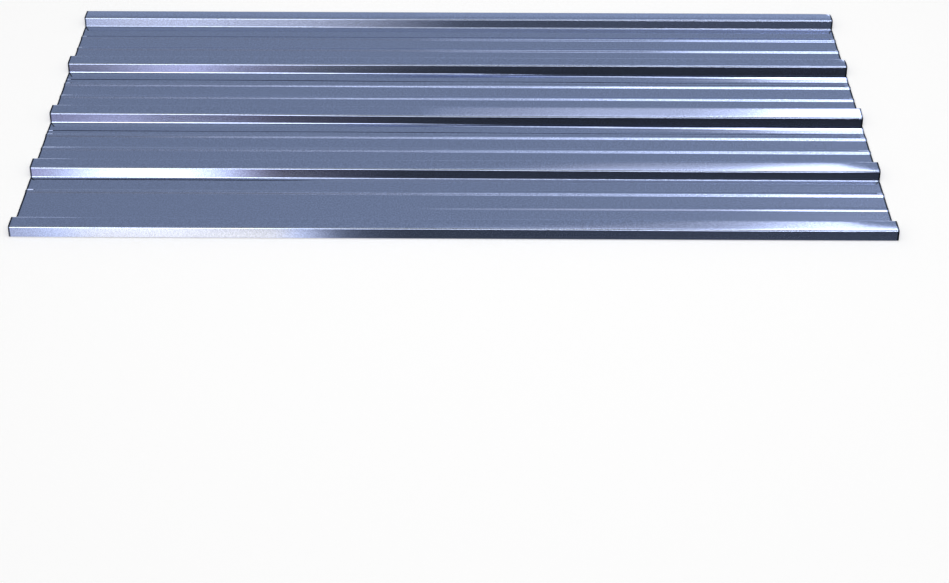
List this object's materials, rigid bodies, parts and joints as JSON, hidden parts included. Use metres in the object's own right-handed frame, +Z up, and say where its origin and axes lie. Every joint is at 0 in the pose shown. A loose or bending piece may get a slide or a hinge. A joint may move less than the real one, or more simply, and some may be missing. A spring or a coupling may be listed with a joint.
{
  "type": "corrugated metal sheet",
  "caption": "Long thin coated-steel roofing and cladding sheet, roll-formed with trapezoidal ribs at both edges and between them, and low stiffeners in the flat pans.",
  "frame": {"origin": "on the floor under the middle of the sheet, halfway along it and halfway between its two side edges; the undersides of the pans lie on Z = 0", "axes": "+X along the ribs, +Y across the sheet from the overlap edge to the underlap edge, +Z up, away from the pans towards the crests"},
  "size_m": [2.5, 1.0792, 0.028],
  "materials": {
    "coated_steel": "bare metallic-coated steel straight from the rolling line: bright, slightly blue, with a fine grain along the ribs and sharp, streaked reflections"
  },
  "bodies": {
    "root": {"corrugated_sheet": "coated_steel"}
  },
  "joints": []
}
